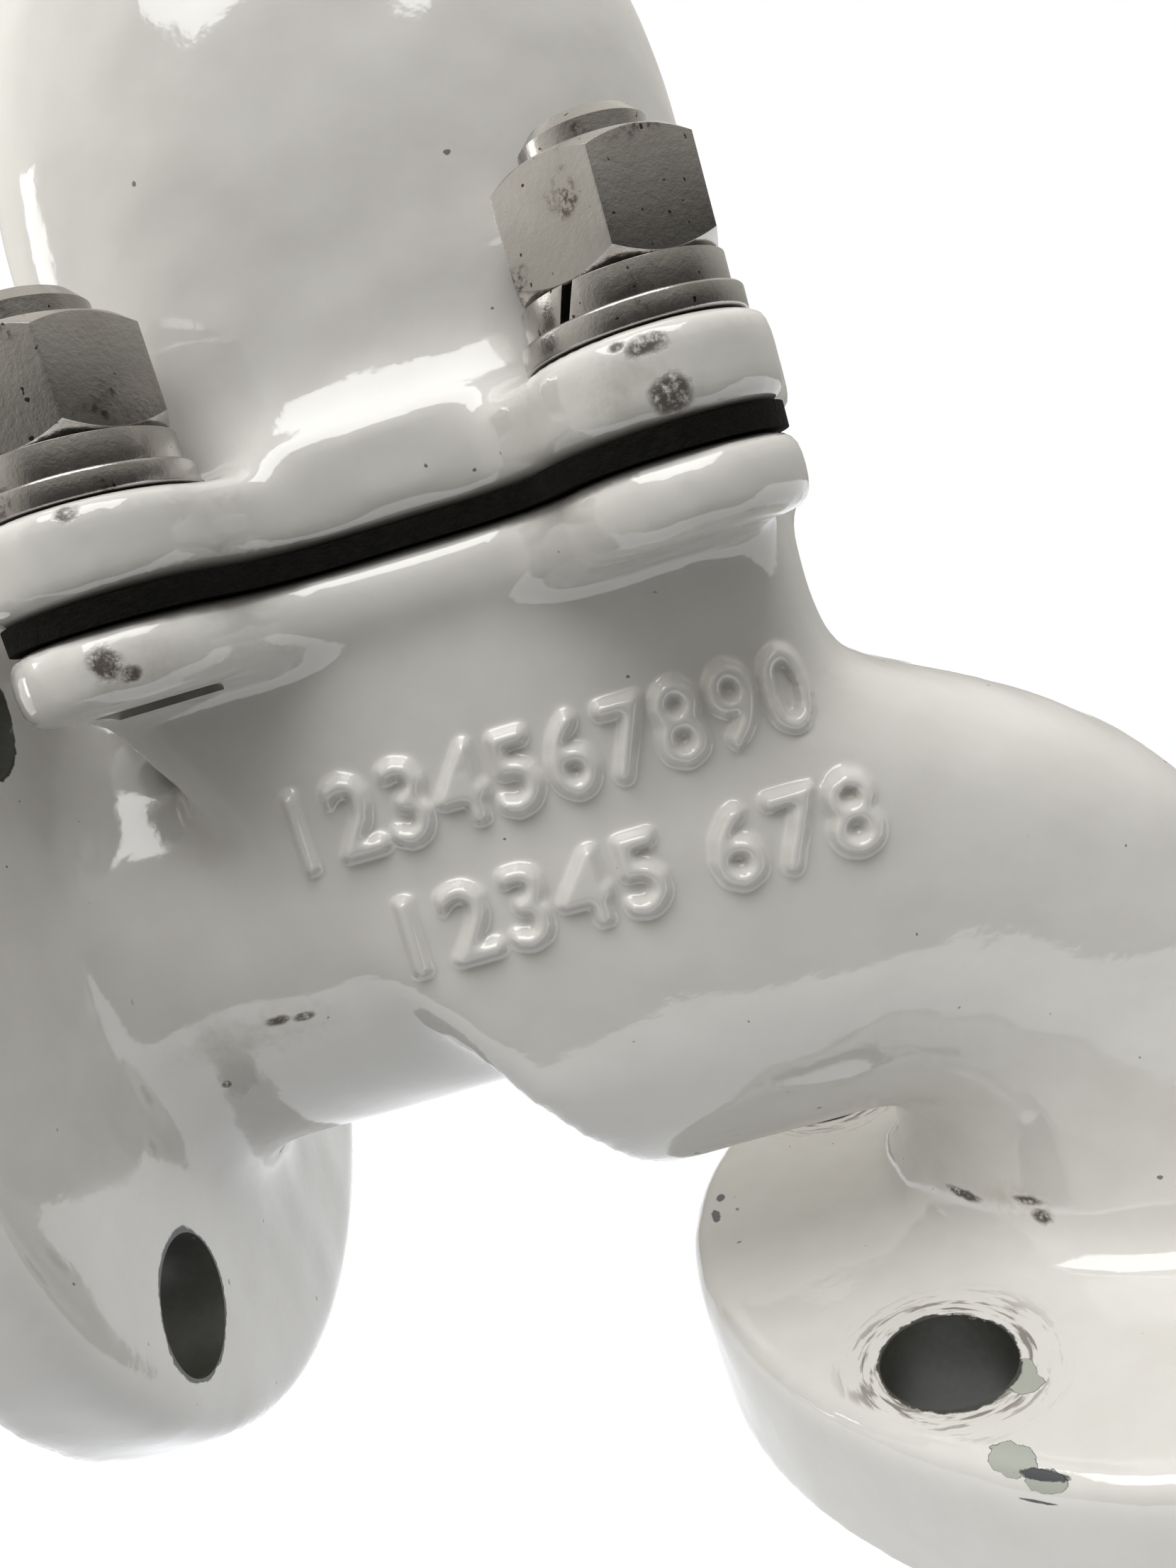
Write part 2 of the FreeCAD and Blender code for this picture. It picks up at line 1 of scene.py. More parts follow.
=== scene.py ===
import json
import math

import bpy
import numpy as np
from mathutils import Matrix, Vector


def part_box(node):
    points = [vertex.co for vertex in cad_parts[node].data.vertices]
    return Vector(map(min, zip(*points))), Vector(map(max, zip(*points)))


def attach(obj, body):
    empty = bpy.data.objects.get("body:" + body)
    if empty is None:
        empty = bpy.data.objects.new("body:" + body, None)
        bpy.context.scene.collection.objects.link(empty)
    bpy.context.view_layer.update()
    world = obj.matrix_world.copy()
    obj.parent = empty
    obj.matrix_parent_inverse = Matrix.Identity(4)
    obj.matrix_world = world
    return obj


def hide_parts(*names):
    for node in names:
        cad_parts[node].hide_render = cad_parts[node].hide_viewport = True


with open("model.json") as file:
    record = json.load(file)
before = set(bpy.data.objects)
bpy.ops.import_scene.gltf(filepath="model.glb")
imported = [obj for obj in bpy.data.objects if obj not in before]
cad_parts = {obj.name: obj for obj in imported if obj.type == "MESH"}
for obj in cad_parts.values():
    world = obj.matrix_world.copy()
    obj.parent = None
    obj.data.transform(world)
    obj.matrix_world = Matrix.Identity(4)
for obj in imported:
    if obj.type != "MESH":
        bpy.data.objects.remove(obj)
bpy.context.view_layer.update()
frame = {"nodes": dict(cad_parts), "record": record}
nodes = frame["nodes"]
mm = 0.001

# Body casting
# The body is one iron casting in gloss white paint. It is cast as a rough blank whose creases run together
# under metal and paint, given its cast digits, then faced, bored and drilled, and painted all over.


def only(*objects):
    """Select these objects and nothing else."""
    bpy.ops.object.select_all(action="DESELECT")
    for obj in objects:
        obj.hide_set(False)
        obj.select_set(True)
    bpy.context.view_layer.objects.active = objects[0]


def copy_of(name, new_name):
    """A merged copy of a CAD node's mesh, free to be shaped."""
    obj = bpy.data.objects.new(new_name, nodes[name].data.copy())
    bpy.context.scene.collection.objects.link(obj)
    obj.data.materials.clear()
    only(obj)
    bpy.ops.object.mode_set(mode="EDIT")
    bpy.ops.mesh.select_all(action="SELECT")
    bpy.ops.mesh.remove_doubles(threshold=0.00001)
    bpy.ops.mesh.normals_make_consistent(inside=False)
    bpy.ops.object.mode_set(mode="OBJECT")
    return obj


def settled(obj=None):
    """Put the place and turn of an object, or of the one just made, into its mesh."""
    obj = obj or bpy.context.object
    only(obj)
    bpy.ops.object.transform_apply(location=True, rotation=True, scale=True)
    return obj


def bar(radius, start, end, sides=96):
    """A round bar between two points, given in millimetres."""
    a = Vector(start) * mm
    b = Vector(end) * mm
    turn = (b - a).to_track_quat("Z", "Y").to_euler()
    bpy.ops.mesh.primitive_cylinder_add(
        vertices=sides, radius=radius * mm, depth=(b - a).length, location=(a + b) / 2, rotation=turn)
    return settled()


def block(low, high):
    """A plain box between two corners, given in millimetres."""
    a = Vector(low) * mm
    b = Vector(high) * mm
    bpy.ops.mesh.primitive_cube_add(size=1, location=(a + b) / 2, scale=b - a)
    return settled()


def joined(first, *rest):
    """The first object with the others' meshes added to its own."""
    only(first, *rest)
    bpy.ops.object.join()
    return first


def cast(obj, grain):
    """Melt the joined shapes into one skin of even facets `grain` millimetres wide."""
    only(obj)
    skin = obj.modifiers.new("skin", "REMESH")
    skin.mode = "VOXEL"
    skin.voxel_size = grain * mm
    bpy.ops.object.modifier_apply(modifier=skin.name)
    return obj


def vertex_places(mesh):
    """The mesh's points as rows of x, y and z, in metres."""
    flat = np.empty(len(mesh.vertices) * 3)
    mesh.vertices.foreach_get("co", flat)
    return flat.reshape(-1, 3)


def evener(mesh):
    """A function that gives the average of each vertex's neighbours."""
    ends = np.empty(len(mesh.edges) * 2, dtype=np.int64)
    mesh.edges.foreach_get("vertices", ends)
    ends = ends.reshape(-1, 2)
    first = np.concatenate([ends[:, 0], ends[:, 1]])
    second = np.concatenate([ends[:, 1], ends[:, 0]])
    count = len(mesh.vertices)
    links = np.bincount(first, minlength=count)

    def average(values):
        return np.stack(
            [np.bincount(first, weights=row[second], minlength=count) / links for row in values.T], axis=1)

    return average


def run_together(obj, passes, fill, even=0.12, where=None):
    """Let paint and sand casting fill the hollow creases, and take the voxels' steps off the rest."""
    mesh = obj.data
    average = evener(mesh)
    count = len(mesh.vertices)
    place = vertex_places(mesh)
    normals = np.empty(count * 3)
    weight = np.ones((count, 1)) if where is None else where(place / mm)[:, None]
    for step in range(passes):
        mesh.vertices.foreach_set("co", place.ravel())
        mesh.update()
        mesh.vertex_normals.foreach_get("vector", normals)
        out = normals.reshape(-1, 3)
        pull = average(place) - place
        hollow = np.maximum((pull * out).sum(axis=1, keepdims=True), 0)
        place = place + weight * (out * hollow * fill + pull * even)
        place = place - weight * (average(place) - place) * even * 0.9
    mesh.vertices.foreach_set("co", place.ravel())
    mesh.update()


def machine(obj, cutters, operation="DIFFERENCE"):
    """Cut the tools' shapes out of the piece, or join them or keep what is shared. The tools are used up."""
    for cutter in cutters:
        cut = obj.modifiers.new("cut", "BOOLEAN")
        cut.operation = operation
        cut.solver = "MANIFOLD"
        cut.object = cutter
        only(obj)
        bpy.ops.object.modifier_apply(modifier=cut.name)
        bpy.data.objects.remove(cutter)


axis_height = 101.2
flange_radius = 76.2
outlet_thickness = 21.4
inlet_thickness = 16.0
bore_radius = 25.5
hole_radius = 9.5
hole_reach = 42.66
plate_thickness = 9.9
stud_hole_radius = 8.1
lean = math.radians(30.8)
smooth_under = math.radians(42)
opening_low = (-131, -33)
opening_high = (-34, 33)
inlet_face = (Vector(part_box("body")[0]) / mm).x
joint_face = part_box("bonnet_gasket")[0][2] / mm
plate_low = joint_face - plate_thickness
bolt_places = [(x, y) for x in (-hole_reach, hole_reach) for y in (-hole_reach, hole_reach)]
stud_places = []
for number in (1, 2, 3, 4):
    low, high = (Vector(corner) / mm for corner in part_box(f"stud_{number}"))
    stud_places.append(((low.x + high.x) / 2, (low.y + high.y) / 2))

blank = copy_of("body", "body_casting")
plugs = [
    bar(flange_radius, (0, 0, -2), (0, 0, 0.5), 192),
    bar(flange_radius, (inlet_face - 2, 0, axis_height), (inlet_face + 0.5, 0, axis_height), 192),
    bar(bore_radius + 0.5, (0, 0, -1), (0, 0, 30)),
    bar(bore_radius + 0.5, (inlet_face - 1, 0, axis_height), (inlet_face + 30, 0, axis_height)),
    block((*opening_low, joint_face - 8), (*opening_high, joint_face - 0.3))]
for x, y in bolt_places:
    plugs.append(bar(hole_radius + 0.4, (x, y, -1), (x, y, outlet_thickness - 0.2)))
    z = axis_height + x
    plugs.append(bar(hole_radius + 0.4, (inlet_face - 1, y, z), (inlet_face + inlet_thickness - 0.2, y, z)))
for x, y in stud_places:
    plugs.append(bar(stud_hole_radius + 0.3, (x, y, plate_low + 0.3), (x, y, joint_face - 0.1)))
casting = cast(joined(blank, *plugs), grain=1.6)


def outlet_shoulder(place):
    """1 where the chamber's end wall sweeps down into the elbow, and 0 elsewhere."""
    x = place[:, 0]
    z = place[:, 2]
    return ((x > -52) & (x < 10) & (z > 96) & (z < 136)).astype(float)


run_together(casting, passes=22, fill=0.35, even=0.4)
run_together(casting, passes=70, fill=0.8, even=0.05, where=outlet_shoulder)
run_together(casting, passes=20, fill=0.0, even=0.5)


def cast_row(characters, left, right, foot, head):
    """A flat stencil of plain digits on the plane Y = 0, fitted between these millimetres."""
    bpy.ops.object.text_add(rotation=(math.pi / 2, 0, 0))
    row = bpy.context.object
    row.data.body = characters
    row.data.space_character = 1.1
    row.data.offset = 0.02
    bpy.ops.object.convert(target="MESH")
    settled(row)
    shape = vertex_places(row.data)
    low = shape.min(axis=0)
    high = shape.max(axis=0)
    size = Vector((right - left, 1, head - foot)) * mm
    row.scale = (size.x / (high[0] - low[0]), 1, size.z / (high[2] - low[2]))
    row.location = (left * mm - low[0] * row.scale.x, 0, foot * mm - low[2] * row.scale.z)
    return settled(row)


rows = [
    cast_row("1234567890", left=-107.5, right=-36.0, foot=110.6, head=122.2),
    cast_row("12345 678", left=-97.5, right=-32.0, foot=93.0, head=104.2)]
digit_height = 2.0


def by_the_rows(spot, margin):
    """Whether a spot on the chamber's near side lies within `margin` of the two rows of digits."""
    x, y, z = spot
    return y < -25 and -111 - margin < x < -31 + margin and 92 - margin < z < 123 + margin


mesh = casting.data
only(casting)
bpy.ops.object.mode_set(mode="EDIT")
bpy.ops.mesh.select_mode(type="FACE")
bpy.ops.mesh.select_all(action="DESELECT")
bpy.ops.object.mode_set(mode="OBJECT")
for face in mesh.polygons:
    if by_the_rows(face.center / mm, 2) and face.normal.y < -0.5:
        face.select = True
bpy.ops.object.mode_set(mode="EDIT")
bpy.ops.mesh.subdivide(number_cuts=3, smoothness=0.0)
bpy.ops.object.mode_set(mode="OBJECT")
place = vertex_places(mesh)
raised = np.zeros((len(place), 1))
for index, spot in enumerate(place / mm):
    if by_the_rows(spot, 0):
        for row in rows:
            if row.ray_cast((spot[0] * mm, -0.3, spot[2] * mm), (0, 1, 0))[0]:
                raised[index] = 1
average = evener(mesh)
for step in range(7):
    raised = average(raised) * 0.5 + raised * 0.5
raised = raised * 0.6 + np.clip(raised * 1.5 - 0.2, 0, 1) * 0.4
mesh.vertices.foreach_set("co", (place - raised * np.array([0, digit_height, 0]) * mm).ravel())
mesh.update()
for row in rows:
    bpy.data.objects.remove(row)

bend_radius = 40
bend_height = 38.4
chamber_half = 29.8
chamber_end = -37
round_height = 80.3
seat_wall = -97.0
bpy.ops.mesh.primitive_torus_add(
    location=(-bend_radius * mm, 0, bend_height * mm), rotation=(math.pi / 2, 0, 0),
    major_radius=bend_radius * mm, minor_radius=25.2 * mm, major_segments=96, minor_segments=48)
elbow_core = settled()
machine(elbow_core, [block((-bend_radius - 0.5, -60, bend_height - 1.4), (90, 60, 150))], "INTERSECT")
chamber_core = block((-150, -chamber_half, 80), (chamber_end, chamber_half, joint_face + 3))
toe = bar(chamber_half, (-150, 0, round_height), (chamber_end, 0, round_height))
machine(chamber_core, [toe], "UNION")
leaning = block((0, -60, -200), (300, 60, 200))
leaning.rotation_euler.y = -lean
leaning.location = Vector((seat_wall, 0, axis_height)) * mm
settled(leaning)
machine(chamber_core, [leaning], "INTERSECT")
tools = [
    elbow_core,
    chamber_core,
    block((-90, -90, -9), (90, 90, 0)),
    block((inlet_face - 9, -90, axis_height - 90), (inlet_face, 90, axis_height + 90)),
    bar(bore_radius, (0, 0, -5), (0, 0, 38), 128),
    bar(bore_radius, (inlet_face - 5, 0, axis_height), (-94, 0, axis_height), 128)]
for x, y in bolt_places:
    tools.append(bar(hole_radius, (x, y, -5), (x, y, 30)))
    z = axis_height + x
    tools.append(bar(hole_radius, (inlet_face - 5, y, z), (inlet_face + 19, y, z)))
# The hole of the near stud by the inlet breaks out under the plate, and the other three stop inside it.
for x, y in stud_places:
    through = 0.9 if x < -90 and y < 0 else -1.5
    tools.append(bar(stud_hole_radius, (x, y, plate_low - through), (x, y, joint_face + 5)))
machine(casting, tools)
only(casting)
bpy.ops.object.shade_smooth_by_angle(angle=smooth_under)


class Shade:
    """A socket of a material's node tree, with Python's operators standing for Math nodes."""

    def __init__(self, maker, socket):
        self.maker = maker
        self.socket = socket

    def math(self, operation, *others):
        values = dict(enumerate((self,) + others))
        return self.maker.add("ShaderNodeMath", {"operation": operation}, values)

    def __add__(self, other):
        return self.math("ADD", other)

    __radd__ = __add__

    def __mul__(self, other):
        return self.math("MULTIPLY", other)

    __rmul__ = __mul__

    def __sub__(self, other):
        return self.math("SUBTRACT", other)

    def __rsub__(self, other):
        return (self * -1) + other

    def __truediv__(self, other):
        return self.math("DIVIDE", other)

    def __pow__(self, other):
        return self.math("POWER", other)

    def top(self, other):
        return self.math("MAXIMUM", other)

    def low(self, other):
        return self.math("MINIMUM", other)

    def ease(self, start, end):
        """0 at start, 1 at end, smooth between; end may be the lower of the two."""
        settings = {"interpolation_type": "SMOOTHSTEP"}
        if start < end:
            values = {"Value": self, "From Min": start, "From Max": end}
        else:
            values = {"Value": self, "From Min": end, "From Max": start, "To Min": 1.0, "To Max": 0.0}
        return self.maker.add("ShaderNodeMapRange", settings, values)


class Finish:
    """A material or the room's air under construction: one method adds any node, the rest only save words."""

    def __init__(self, name, blocks, output):
        self.owner = blocks.new(name)
        self.owner.use_nodes = True
        self.tree = self.owner.node_tree
        self.tree.nodes.clear()
        self.output = self.tree.nodes.new(output)

    def add(self, kind, settings=None, values=None, output=0):
        node = self.tree.nodes.new(kind)
        for key, value in (settings or {}).items():
            setattr(node, key, value)
        for key, value in (values or {}).items():
            socket = node.inputs[key]
            if isinstance(value, Shade):
                self.tree.links.new(value.socket, socket)
            else:
                socket.default_value = value
        return Shade(self, node.outputs[output])

    def done(self, shader):
        self.tree.links.new(shader.socket, self.output.inputs[0])
        return self.owner

    def axes(self, vector):
        """The vector's three parts."""
        split = self.add("ShaderNodeSeparateXYZ", None, {0: vector}).socket.node
        return [Shade(self, part) for part in split.outputs]

    def place(self):
        return self.add("ShaderNodeTexCoord", output="Object")

    def noise(self, vector, size, detail=2.0, roughness=0.5):
        """Noise whose lumps are about `size` millimetres across."""
        values = {"Vector": vector, "Scale": 1 / (size * mm), "Detail": detail, "Roughness": roughness}
        return self.add("ShaderNodeTexNoise", None, values)

    def mix(self, factor, first, second):
        values = {"Factor": factor, 6: first, 7: second}
        return self.add("ShaderNodeMix", {"data_type": "RGBA"}, values, output=2)

    def bump(self, height, distance, normal=None):
        """Relief of this height, `distance` millimetres high where the height is 1."""
        values = {"Height": height, "Distance": distance * mm, "Strength": 1.0}
        if normal:
            values["Normal"] = normal
        return self.add("ShaderNodeBump", None, values)

    def surface(self, **values):
        """Finish with one Principled shader; sockets are named with underscores for spaces."""
        named = {key.replace("_", " "): value for key, value in values.items()}
        return self.done(self.add("ShaderNodeBsdfPrincipled", None, named))


def material(name):
    return Finish(name, bpy.data.materials, "ShaderNodeOutputMaterial")


def distance(finish, place, centre, size):
    """Distance from a spot in millimetres, with each axis divided by its own size."""
    offset = finish.add("ShaderNodeVectorMath", {"operation": "SUBTRACT"}, {0: place, 1: Vector(centre) * mm})
    scaled = finish.add("ShaderNodeVectorMath", {"operation": "DIVIDE"}, {0: offset, 1: Vector(size) * mm})
    return finish.add("ShaderNodeVectorMath", {"operation": "LENGTH"}, {0: scaled}, output=1)


def painted():
    """Gloss white, brushed on thick enough to ripple, with dark bare bores and dirty bolt holes darkened
    further by painted shade.

    Grease and rust stain it at single spots, and it has flaked at the lower flange's edge and beside a hole.
    """
    paint = material("gloss_white_paint")
    place = paint.place()
    x, y, z = [part / mm for part in paint.axes(place)]
    coarse = paint.noise(place, 9, 4, 0.65)
    fine = paint.noise(place, 1.4, 4, 0.7)
    rag = (coarse - 0.5) * 1.6 + (fine - 0.5) * 0.9

    def spots(places, ragged, edge):
        """1 inside any of these ragged patches, fading over the outer `edge` of each."""
        total = None
        for centre, size in places:
            one = (distance(paint, place, centre, size) + rag * ragged).ease(1.0, 1.0 - edge)
            total = one if total is None else total.top(one)
        return total

    grime = spots([
        ((-47.8, -57.6, 159.6), (3.2, 4, 1.6)), ((-46.2, -57.6, 153.9), (2.6, 4, 2.4)),
        ((-50.5, -57.6, 160.4), (1.6, 4, 1.0)), ((-114.2, -57.2, 160.6), (2.0, 3, 1.4)),
        ((-115.6, -57.6, 143.6), (2.4, 4, 2.6)), ((-113.2, -57.2, 141.6), (1.6, 4, 1.4)),
        ((-118.2, -36.3, 92.2), (2.2, 4, 0.9)), ((-114.6, -36.3, 91.7), (2.0, 4, 0.8)),
        ((-129.2, -33.6, 84.5), (1.0, 3, 0.9)), ((-105.2, -57.6, 143.2), (0.8, 3, 3.6)),
        ((-30.9, -18.1, 29.6), (3.0, 5, 0.9)), ((-23.4, -26.0, 31.2), (3.2, 5, 1.1)),
        ((-22.0, -27.4, 29.0), (1.8, 4, 1.6))], ragged=1.0, edge=0.5)
    # Brown patches: stains round the grease spots, and painted shade in the thin bands along the chamber's
    # underside and the body plate's lower front edge.
    stains_and_underside_shade = spots([
        ((-50, -57.6, 156), (10, 6, 6)), ((-112, -57.6, 143), (9, 6, 5)), ((-122, -36.0, 91), (16, 6, 5)),
        ((-60, -18, 50.6), (16, 14, 2.4)), ((-45, -22, 49), (22, 12, 2.6)), ((-26, -24, 31), (12, 9, 4)),
        ((-98, -57.6, 158), (6, 6, 5)), ((-70, -57, 141), (22, 8, 3))], ragged=1.3, edge=0.9)

    def from_axis(first, second):
        """Distance from the axis where both are 0."""
        return (first ** 2 + second ** 2).math("SQRT")

    def from_holes(first, second):
        """Distance from the nearest of the four bolt holes round that axis."""
        return from_axis(first.math("ABSOLUTE") - hole_reach, second.math("ABSOLUTE") - hole_reach)

    above = z - axis_height
    out_hole = from_holes(x, y)
    in_hole = from_holes(y, above)
    low_flange = z.ease(22.6, 22.4)
    side_flange = x.ease(-137, -137.5)
    rim = (fine - 0.5) * 0.9 + (coarse - 0.5) * 2.4
    out_rim = (out_hole + rim * z.ease(20.2, 21.0)).ease(hole_radius + 0.6, hole_radius + 0.3)
    in_rim = (in_hole + rim * x.ease(-141.5, -140.6)).ease(hole_radius + 0.6, hole_radius + 0.3)
    # Bolt hole walls and rims: dirt, made near black with painted shade.
    hole_dirt_and_shade = (out_rim * low_flange).top(in_rim * side_flange)
    inlet_bore = from_axis(y, above).ease(bore_radius + 0.5, bore_radius + 0.2) * x.ease(-90, -91)
    outlet_bore = from_axis(x, y).ease(bore_radius + 0.5, bore_radius + 0.2) * z.ease(39, 38)
    bare = inlet_bore.top(outlet_bore)
    around = {0: out_hole * 0.9 * mm, 1: x * 0.12 * mm, 2: y * 0.12 * mm}
    brushed = paint.add("ShaderNodeCombineXYZ", None, around)
    arcs = paint.noise(brushed, 0.8, 3, 0.6).ease(0.50, 0.62)
    rings = arcs * out_hole.ease(17.5, 11) * z.ease(20.9, 21.2) * low_flange
    flaked = spots([
        ((-41.2, -62.4, 20.8), (3.4, 3.0, 1.6)), ((-38.2, -65.3, 19.6), (3.0, 2.0, 1.3)),
        ((-34.6, -50.6, 21.4), (2.6, 2.0, 2.0)), ((-33.6, -48.0, 21.4), (1.4, 2.4, 2.0))],
        ragged=0.7, edge=0.06)
    crack = spots([
        ((-38.6, -64.6, 20.0), (5.4, 2.0, 0.5)), ((-40.6, -65.4, 17.2), (4.5, 2.0, 0.22)),
        ((-70.4, 9.2, 21.4), (0.9, 2.4, 1.2)), ((-69.0, 15.2, 21.4), (0.8, 1.4, 1.2))], ragged=0.8, edge=0.2)
    specks = paint.noise(place, 1.6, 0, 0.5).ease(0.125, 0.1)
    white = paint.mix(coarse.ease(0.3, 0.7), (0.735, 0.72, 0.69, 1), (0.765, 0.752, 0.725, 1))
    # Mixes in the brown stains and the painted shade under the chamber and the body plate.
    stained_and_shaded = paint.mix(stains_and_underside_shade * coarse.ease(0.35, 0.65) * 0.55, white, (0.42, 0.385, 0.32, 1))
    ringed = paint.mix(rings * 0.8, stained_and_shaded, (0.12, 0.10, 0.08, 1))
    soiled = paint.mix((grime * fine.ease(0.3, 0.55)).top(specks * 0.8), ringed, (0.07, 0.055, 0.042, 1))
    primed = paint.mix(flaked, soiled, (0.40, 0.42, 0.37, 1))
    cracked = paint.mix(crack, primed, (0.03, 0.033, 0.04, 1))
    # The bolt holes' colour: dark dirt and painted shade, darker than the bare iron.
    hole_dirt_and_shade_colour = paint.mix(fine, (0.012, 0.013, 0.010, 1), (0.06, 0.06, 0.048, 1))
    iron = paint.mix(coarse, (0.10, 0.085, 0.075, 1), (0.20, 0.17, 0.15, 1))
    colour = paint.mix(hole_dirt_and_shade, paint.mix(bare, cracked, iron), hole_dirt_and_shade_colour)
    dull = grime * 0.45 + stains_and_underside_shade * 0.12 + rings * 0.4 + flaked * 0.5 + hole_dirt_and_shade * 0.4 + bare * 0.5
    rough = (dull + 0.085).low(0.75)
    skin = paint.bump(paint.noise(place, 16, 1, 0.4), 0.9)
    skin = paint.bump(paint.noise(place, 2.2, 2, 0.5), 0.035, skin)
    skin = paint.bump(flaked * -1 - hole_dirt_and_shade * 0.6 - crack * 0.6 - grime * fine * 0.4, 0.35, skin)
    return paint.surface(Base_Color=colour, Roughness=rough, IOR=1.75, Normal=skin)


def paint_over(obj):
    """Give all of a casting the paint, and drop the empty slots that the cuts leave."""
    mesh = obj.data
    mesh.materials.clear()
    mesh.materials.append(white)
    mesh.polygons.foreach_set("material_index", [0] * len(mesh.polygons))


white = painted()
paint_over(casting)
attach(casting, "valve")
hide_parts("body")

# Bonnet casting
# The bonnet is a second casting: the joint's plate with the tall oval dome on it, drilled for the studs and
# spot-faced under their washers.
blank = copy_of("bonnet", "bonnet_casting")
bonnet_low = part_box("bonnet")[0][2] / mm
gasket_thickness = 3
cover_thickness = 11.2
plate_top = joint_face + gasket_thickness + cover_thickness
clearance_radius = 8.75
spot_face_radius = 14.2
dome_middle = -80.1
hollow_length = 44.8
hollow_width = 29.0
hollow_foot = 148
straight_top = 197
hollow_shoulder = 196.3
hollow_rise = 58
plugs = [block((*opening_low, bonnet_low + 0.3), (*opening_high, bonnet_low + 8))]
for x, y in stud_places:
    plugs.append(bar(clearance_radius + 0.45, (x, y, bonnet_low + 0.3), (x, y, plate_top - 0.2)))
dome = cast(joined(blank, *plugs), grain=1.3)
run_together(dome, passes=16, fill=0.5)
run_together(dome, passes=14, fill=0.0, even=0.5)
bpy.ops.mesh.primitive_cylinder_add(
    vertices=96, radius=1, depth=1, location=(dome_middle * mm, 0, (hollow_foot + straight_top) / 2 * mm),
    scale=(hollow_length * mm, hollow_width * mm, (straight_top - hollow_foot) * mm))
cavity = settled()
bpy.ops.mesh.primitive_uv_sphere_add(
    segments=96, ring_count=48, radius=1, location=(dome_middle * mm, 0, hollow_shoulder * mm),
    scale=(hollow_length * mm, hollow_width * mm, hollow_rise * mm))
machine(cavity, [settled()], "UNION")
tools = [cavity]
for x, y in stud_places:
    tools.append(bar(clearance_radius, (x, y, plate_top - 30), (x, y, plate_top + 10)))
    tools.append(bar(spot_face_radius, (x, y, plate_top), (x, y, plate_top + 26)))
machine(dome, tools)
only(dome)
bpy.ops.object.shade_smooth_by_angle(angle=smooth_under)
paint_over(dome)
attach(dome, "valve")
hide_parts("bonnet")

# Joint sheet
# The joint is a black rubber sheet, cut a little inside the plates' edge, with a rough outer face.


def rubber():
    """Black sheet with hardly any shine and a torn-looking edge."""
    sheet = material("black_rubber")
    place = sheet.place()
    colour = sheet.mix(sheet.noise(place, 2, 3, 0.6), (0.002, 0.002, 0.002, 1), (0.012, 0.011, 0.01, 1))
    torn = sheet.bump(sheet.noise(place, 1.5, 4, 0.7), 0.5)
    return sheet.surface(Base_Color=colour, Roughness=0.85, IOR=1.2, Normal=torn)


black = rubber()
sheet_inset = 1.4
sheet = copy_of("bonnet_gasket", "joint_sheet")
low, high = (Vector(corner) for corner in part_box("bonnet_gasket"))
for vertex in sheet.data.vertices:
    for axis in (0, 1):
        half = (high[axis] - low[axis]) / 2
        middle = (high[axis] + low[axis]) / 2
        vertex.co[axis] = middle + (vertex.co[axis] - middle) * (half - sheet_inset * mm) / half
sheet.data.materials.append(black)
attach(sheet, "valve")
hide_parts("bonnet_gasket")

# Stainless fasteners and the bronze inside
# The studs, nuts and washers are stainless, with brown tarnish and dark pits. The seat, flap and hinge are
# bronze, and keep the solids' shape.


def steel():
    """Dull stainless, tarnished in patches, with a thread's ridges where the studs stand above the nuts."""
    metal = material("stainless")
    place = metal.place()
    patches = metal.noise(place, 9, 3, 0.55)
    fine = metal.noise(place, 0.9, 4, 0.7)
    bright = metal.mix(patches, (0.32, 0.30, 0.275, 1), (0.47, 0.46, 0.445, 1))
    tarnish = patches.ease(0.42, 0.34) * fine.ease(0.42, 0.6)
    pits = metal.noise(place, 1.1, 1, 0.5).ease(0.27, 0.22)
    colour = metal.mix((tarnish * 0.8).top(pits), bright, (0.07, 0.05, 0.045, 1))
    z = metal.axes(place)[2] / mm
    thread_pitch = 2.3
    thread_foot = 189.6
    thread = (z * (2 * math.pi / thread_pitch)).math("SINE") * z.ease(thread_foot, thread_foot + 0.6)
    threaded = metal.bump(thread, 0.6, metal.bump(fine, 0.05))
    return metal.surface(
        Base_Color=colour, Metallic=1.0, Roughness=fine * 0.22 + patches * 0.12 + 0.06, Normal=threaded)


def bronze():
    """Brown cast bronze, blotched and uneven in shine."""
    metal = material("bronze")
    place = metal.place()
    colour = metal.mix(metal.noise(place, 6, 3), (0.36, 0.21, 0.09, 1), (0.58, 0.40, 0.19, 1))
    return metal.surface(Base_Color=colour, Metallic=1.0, Roughness=metal.noise(place, 2, 3) * 0.3 + 0.2)


def filed(name, width):
    """Stand a copy of a turned or forged piece in its place, with the sharp edges broken."""
    piece = copy_of(name, name + "_filed")
    edges = piece.modifiers.new("edges", "BEVEL")
    edges.width = width * mm
    edges.segments = 3
    edges.limit_method = "ANGLE"
    edges.angle_limit = math.radians(32)
    bpy.ops.object.modifier_apply(modifier=edges.name)
    bpy.ops.object.shade_smooth_by_angle(angle=math.radians(30))
    piece.data.materials.append(finishes["stainless"])
    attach(piece, "valve")
    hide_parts(name)


finishes = {"stainless": steel(), "black_rubber": black, "bronze": bronze()}
for part in frame["record"]["subparts"]:
    if part["node"] in ("body", "bonnet", "bonnet_gasket"):
        continue
    mesh = nodes[part["node"]].data
    mesh.materials.clear()
    mesh.materials.append(finishes[part["material_slot"]])

for number in (1, 2, 3, 4):
    filed(f"nut_{number}", width=0.55)
    filed(f"lock_washer_{number}", width=0.45)
    filed(f"flat_washer_{number}", width=0.4)

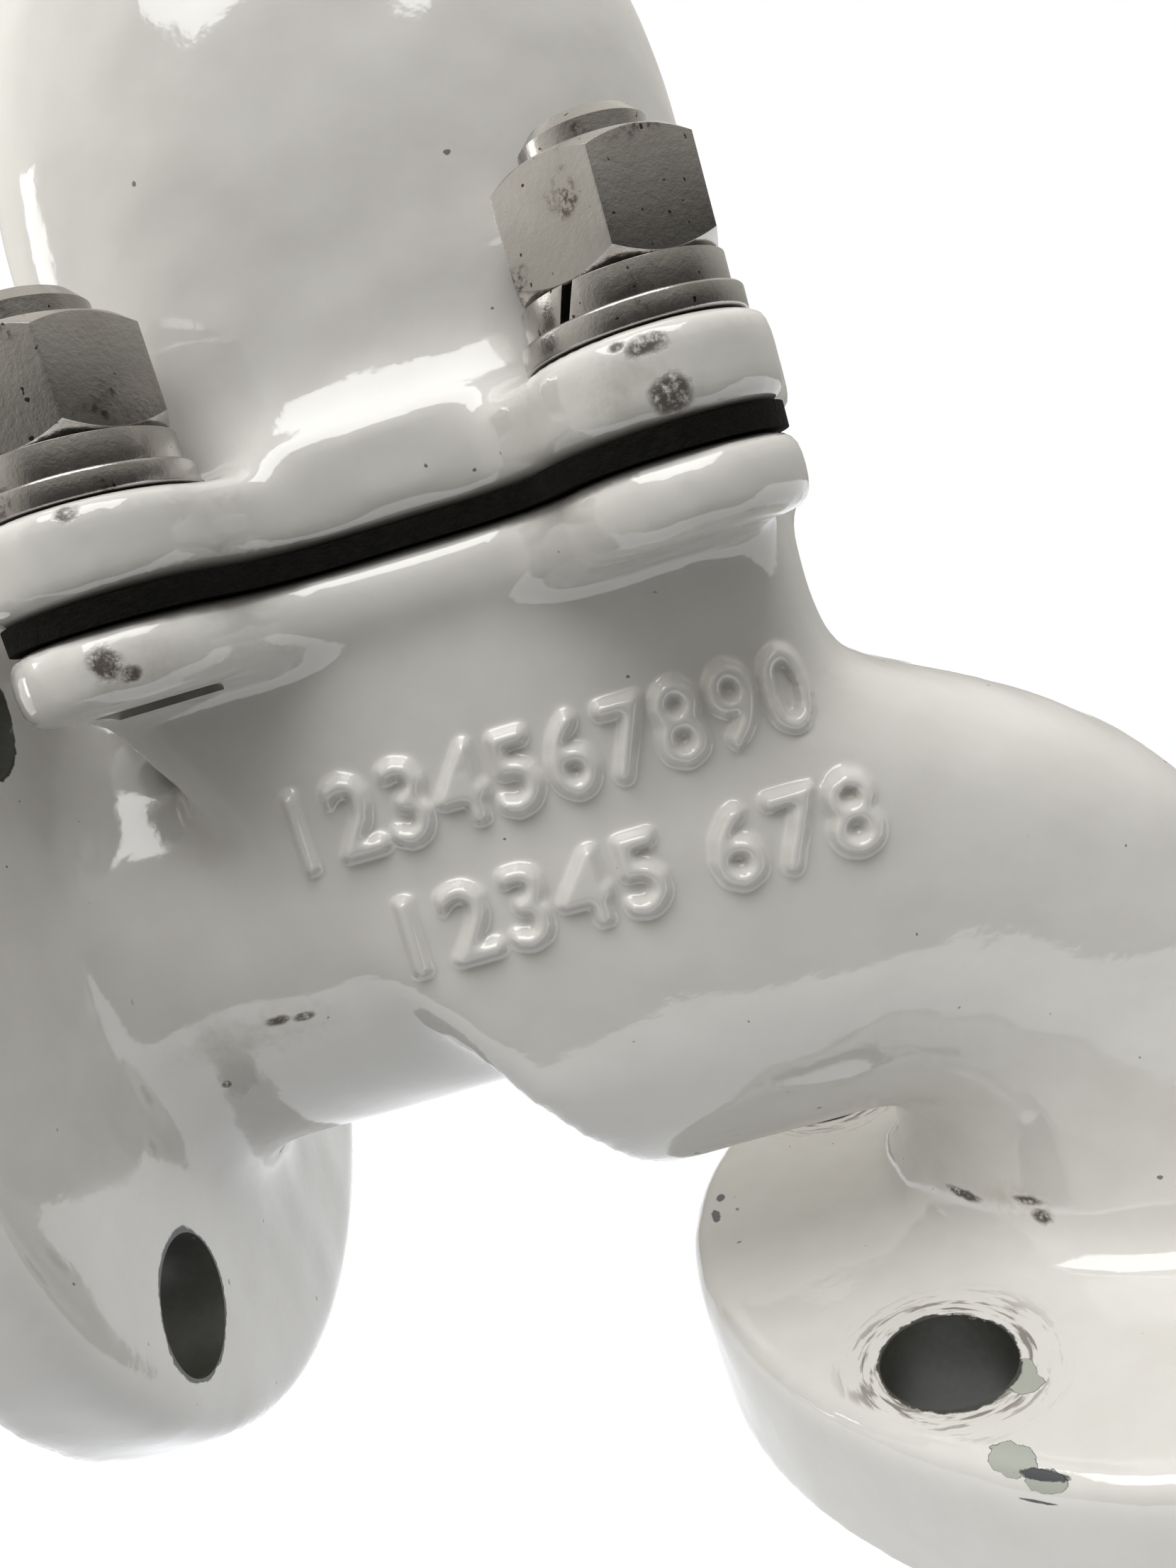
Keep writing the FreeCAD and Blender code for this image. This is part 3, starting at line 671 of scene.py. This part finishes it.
# Floor, light and camera
# The valve stands on the end of a white table. The camera sees the floor and the room as plain white, as in
# the photograph, while the paint mirrors the table, the bright ceiling and a dimmer room in front.
table_top = material("white_floor")
seen = table_top.add("ShaderNodeLightPath")
mirrored = table_top.add("ShaderNodeLightPath", output="Is Glossy Ray")
table = table_top.add("ShaderNodeEmission", None, {0: (0.97, 0.985, 1, 1), 1: mirrored * 0.95 + 0.42})
plain = table_top.add("ShaderNodeEmission", None, {0: (1, 1, 1, 1)})
pale = table_top.add("ShaderNodeMixShader", None, {0: seen, 1: table, 2: plain})
bpy.ops.object.select_all(action="DESELECT")
table_end = -0.188
bpy.ops.mesh.primitive_plane_add(size=2, location=(0, 1 + table_end, -0.0002))
floor = bpy.context.object
floor.name = "floor"
floor.data.materials.append(table_top.done(pale))

room = Finish("room", bpy.data.worlds, "ShaderNodeOutputWorld")
seen = room.add("ShaderNodeLightPath")
side, depth, height = room.axes(room.add("ShaderNodeTexCoord"))
glow = height.ease(0.0, 0.7) * 0.56 + 0.08 + depth.ease(-0.3, 0.6) * 0.34 + side.ease(-0.4, -0.95) * 0.6
walls = room.mix(seen, (1, 0.975, 0.905, 1), (1, 1, 1, 1))
power = glow.math("MULTIPLY_ADD", 1 - seen, seen)
bpy.context.scene.world = room.done(room.add("ShaderNodeBackground", None, {0: walls, 1: power}))


def lamp(name, place, aim, size, power):
    """A rectangular light at `place` that faces `aim`, in metres and watts."""
    light = bpy.data.lights.new(name, "AREA")
    light.shape = "RECTANGLE"
    light.size, light.size_y = size
    light.energy = power
    obj = bpy.data.objects.new(name, light)
    bpy.context.scene.collection.objects.link(obj)
    obj.location = place
    obj.rotation_euler = (Vector(aim) - Vector(place)).to_track_quat("-Z", "Y").to_euler()


lamp("ceiling", (-0.05, -0.6, 1.3), (-0.05, 0, 0.1), size=(1.3, 0.8), power=12.5)
lamp("window", (-1.3, 0.15, 0.5), (-0.05, 0, 0.1), size=(0.3, 0.7), power=2.0)

camera_place = (-60.09, -193.16, 136.8)
across = Vector((0.9596, 0.0038, -0.2817))
ahead = Vector((-0.05, 0.9863, -0.1571))
ahead.normalize()
upward = across.cross(ahead).normalized()
across = ahead.cross(upward)
looking = Matrix((across, upward, -ahead)).transposed()
camera = bpy.data.objects.new("camera", bpy.data.cameras.new("camera"))
bpy.context.scene.collection.objects.link(camera)
camera.data.lens = 27.52
camera.data.clip_start = 0.005
camera.matrix_world = Matrix.Translation(Vector(camera_place) * mm) @ looking.to_4x4()
bpy.context.scene.camera = camera
bpy.context.scene.view_settings.view_transform = "Standard"
